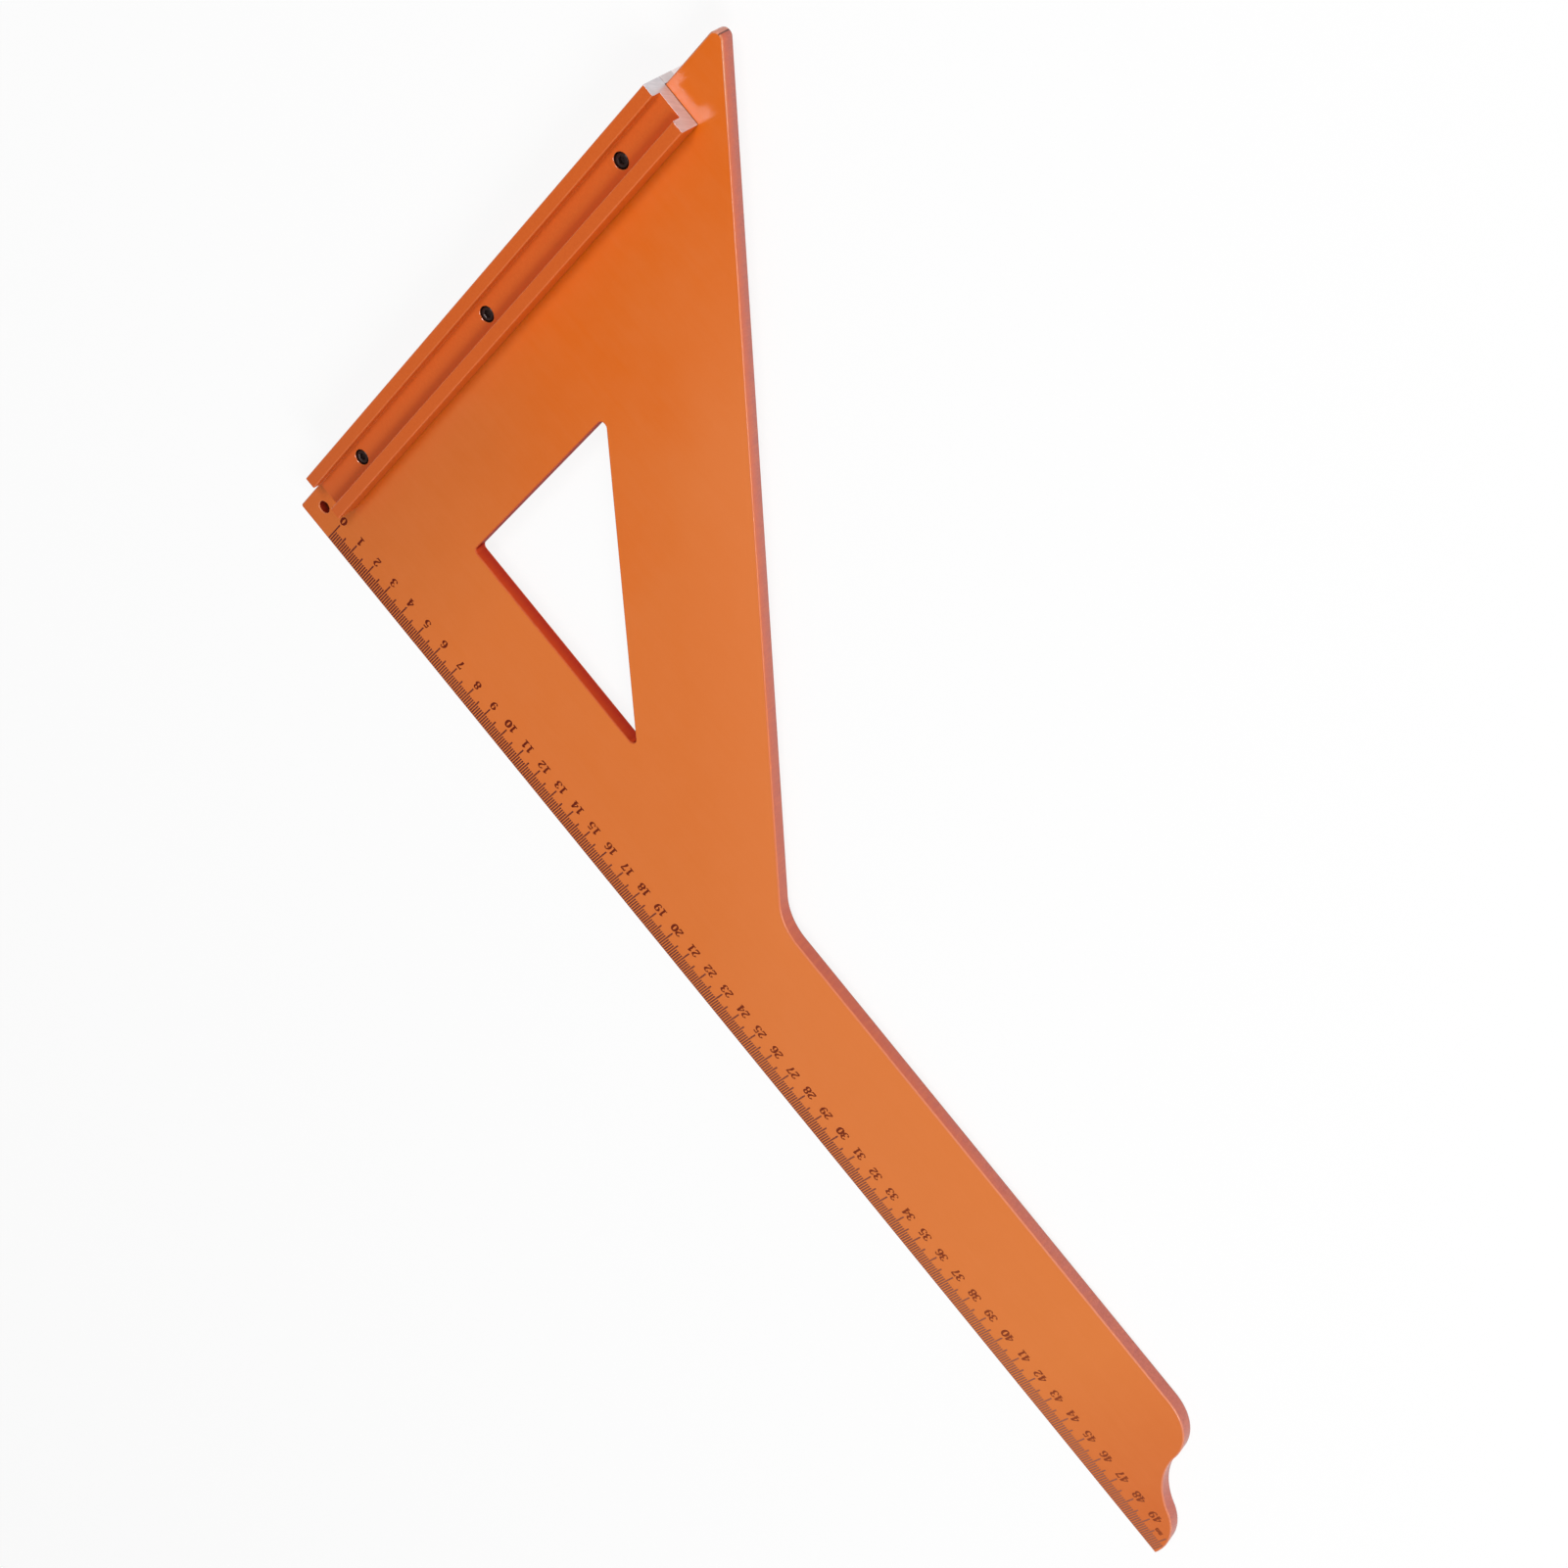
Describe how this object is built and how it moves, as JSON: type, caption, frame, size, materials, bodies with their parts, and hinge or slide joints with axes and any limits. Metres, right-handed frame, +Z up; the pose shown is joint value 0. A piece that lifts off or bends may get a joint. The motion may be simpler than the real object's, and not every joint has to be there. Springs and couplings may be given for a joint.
{
  "type": "woodworking triangle ruler",
  "caption": "Flat 45 degree triangle square with a long scale arm, a triangular window and a double-sided fence of two bars clamped on its short edge.",
  "frame": {"origin": "the zero of the scale: the point of the scale edge, on the printed face, that lines up with the fence's registering face", "axes": "+X along the scale from its zero towards the nose, +Y along the fence away from the scale edge, +Z up out of the printed face"},
  "size_m": [0.5232, 0.2944, 0.0241],
  "materials": {
    "orange_anodised": "orange anodised, satin",
    "bare_aluminium": "bare, sawn",
    "black_oxide": "black oxide, satin",
    "scale_mark": "dark brown laser mark, matt"
  },
  "bodies": {
    "root": {"blade": "orange_anodised", "fence_lower": "orange_anodised", "fence_upper": "orange_anodised", "screw_low": "black_oxide", "screw_mid": "black_oxide", "screw_high": "black_oxide"}
  },
  "joints": []
}
